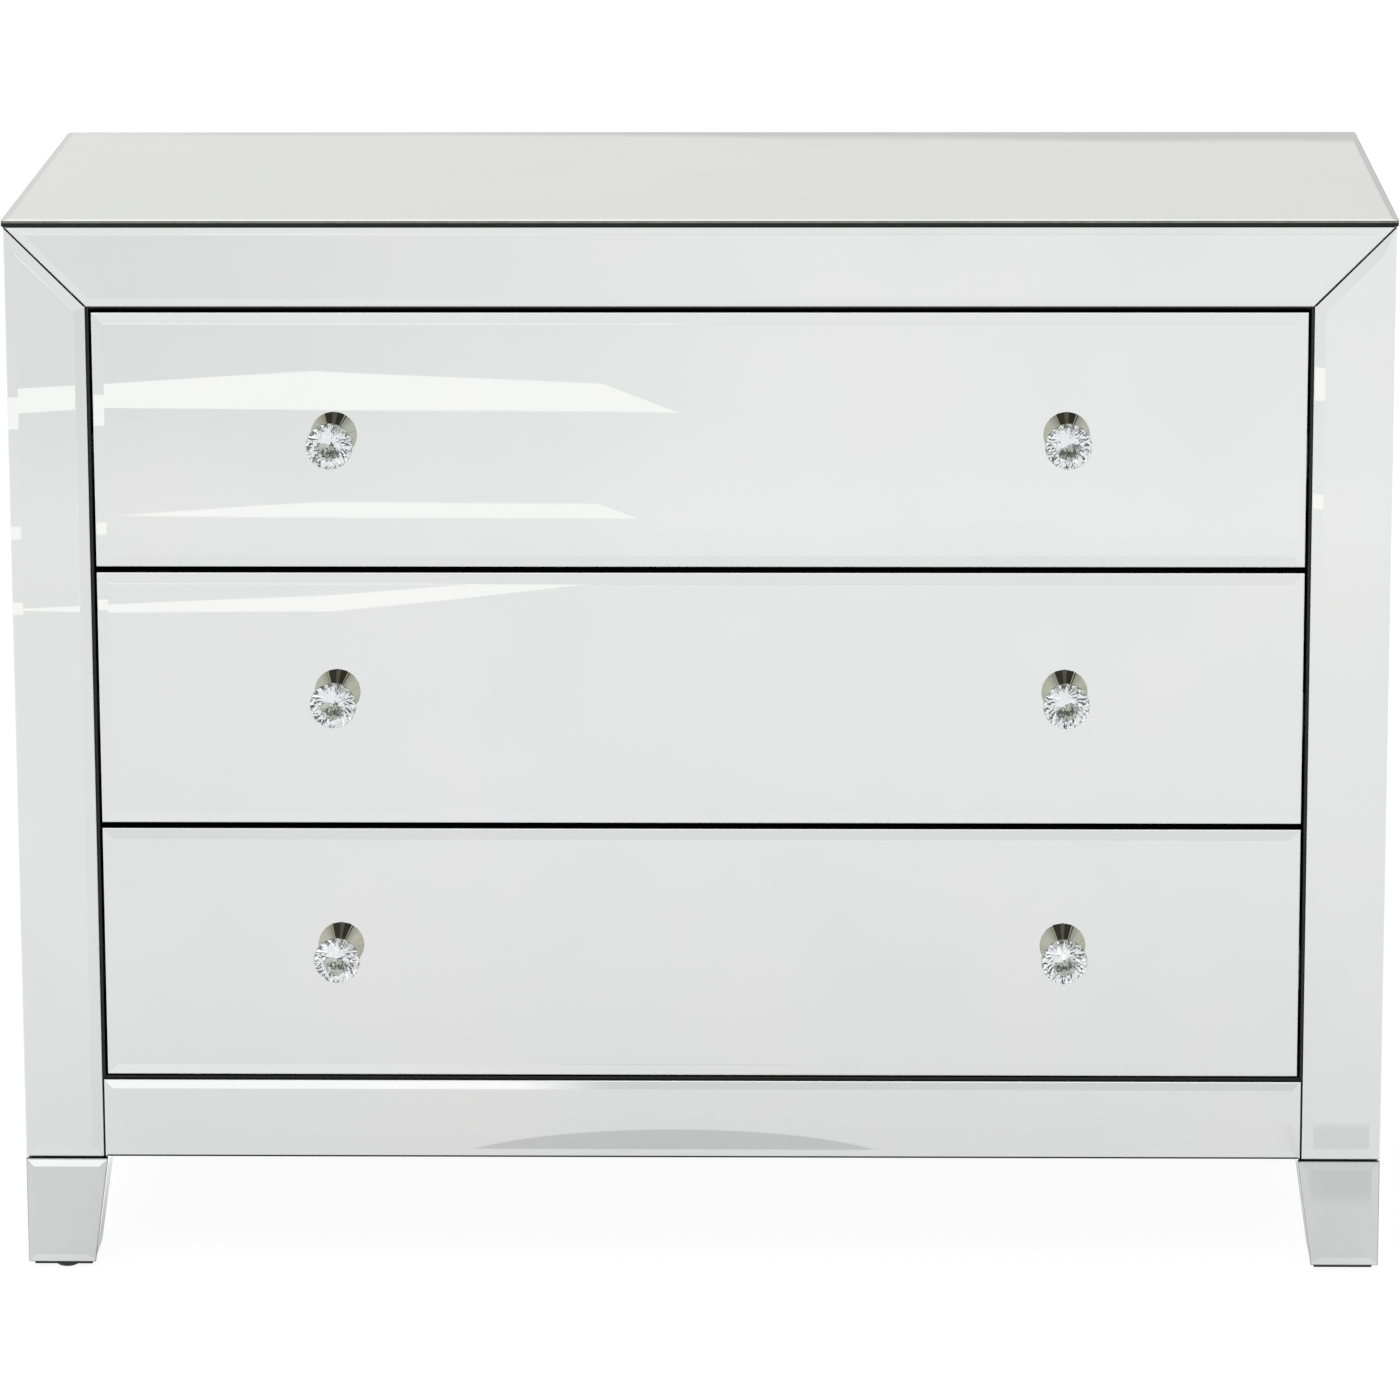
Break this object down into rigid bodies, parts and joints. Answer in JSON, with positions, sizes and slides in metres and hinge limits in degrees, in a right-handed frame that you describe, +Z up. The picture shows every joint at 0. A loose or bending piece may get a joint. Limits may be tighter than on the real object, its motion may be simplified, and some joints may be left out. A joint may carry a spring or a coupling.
{
  "type": "mirrored chest of drawers",
  "caption": "Chest of wide drawers faced all over with bevelled mirror glass, with crystal knobs, ball-bearing side runners and tapered mirrored legs.",
  "frame": {"origin": "on the floor, midway between the sides and midway between the tips of the knobs and the back panel", "axes": "+Z up, +Y towards the wall behind the chest, so the drawers open towards -Y; left is -X seen from the front"},
  "size_m": [1.06, 0.511, 0.8306],
  "materials": {
    "mirror": "silvered glass, ground bevels, clean with faint scratches",
    "black_paint": "black satin paint on fibreboard",
    "back_board": "black matt hardboard",
    "drawer_box": "black matt laminate on fibreboard",
    "drawer_lining": "hardboard flocked in black",
    "runner_steel": "bright zinc plate",
    "chrome": "polished chrome plate",
    "crystal": "cut and polished lead crystal"
  },
  "bodies": {
    "case": {"top_mirror": "mirror", "top_board": "black_paint", "back_panel": "back_board", "bottom_board": "black_paint", "front_top_rail": "black_paint", "front_bottom_rail": "black_paint", "top_rail_mirror": "mirror", "bottom_rail_mirror": "mirror", "left_side_panel": "black_paint", "left_side_mirror": "mirror", "left_stile_mirror": "mirror", "right_side_panel": "black_paint", "right_side_mirror": "mirror", "right_stile_mirror": "mirror", "front_left_leg": "mirror", "front_right_leg": "mirror", "rear_left_leg": "mirror", "rear_right_leg": "mirror", "bottom_drawer_left_case_runner": "runner_steel", "bottom_drawer_right_case_runner": "runner_steel", "middle_drawer_left_case_runner": "runner_steel", "middle_drawer_right_case_runner": "runner_steel", "top_drawer_left_case_runner": "runner_steel", "top_drawer_right_case_runner": "runner_steel"},
    "bottom_drawer": {"bottom_drawer_front_mirror": "mirror", "bottom_drawer_front_board": "black_paint", "bottom_drawer_bottom": "drawer_lining", "bottom_drawer_back": "drawer_box", "bottom_drawer_left_side": "drawer_box", "bottom_drawer_right_side": "drawer_box", "bottom_drawer_left_box_runner": "runner_steel", "bottom_drawer_right_box_runner": "runner_steel", "bottom_drawer_left_knob_cup": "chrome", "bottom_drawer_right_knob_cup": "chrome", "bottom_drawer_left_knob_crystal": "crystal", "bottom_drawer_right_knob_crystal": "crystal"},
    "middle_drawer": {"middle_drawer_front_mirror": "mirror", "middle_drawer_front_board": "black_paint", "middle_drawer_bottom": "drawer_lining", "middle_drawer_back": "drawer_box", "middle_drawer_left_side": "drawer_box", "middle_drawer_right_side": "drawer_box", "middle_drawer_left_box_runner": "runner_steel", "middle_drawer_right_box_runner": "runner_steel", "middle_drawer_left_knob_cup": "chrome", "middle_drawer_right_knob_cup": "chrome", "middle_drawer_left_knob_crystal": "crystal", "middle_drawer_right_knob_crystal": "crystal"},
    "top_drawer": {"top_drawer_front_mirror": "mirror", "top_drawer_front_board": "black_paint", "top_drawer_bottom": "drawer_lining", "top_drawer_back": "drawer_box", "top_drawer_left_side": "drawer_box", "top_drawer_right_side": "drawer_box", "top_drawer_left_box_runner": "runner_steel", "top_drawer_right_box_runner": "runner_steel", "top_drawer_left_knob_cup": "chrome", "top_drawer_right_knob_cup": "chrome", "top_drawer_left_knob_crystal": "crystal", "top_drawer_right_knob_crystal": "crystal"}
  },
  "joints": [
    {"name": "bottom_drawer_slide", "type": "slide", "parent": "case", "child": "bottom_drawer", "axis": [0, -1, 0], "range_m": [0, 0.28]},
    {"name": "middle_drawer_slide", "type": "slide", "parent": "case", "child": "middle_drawer", "axis": [0, -1, 0], "range_m": [0, 0.28]},
    {"name": "top_drawer_slide", "type": "slide", "parent": "case", "child": "top_drawer", "axis": [0, -1, 0], "range_m": [0, 0.28]}
  ]
}
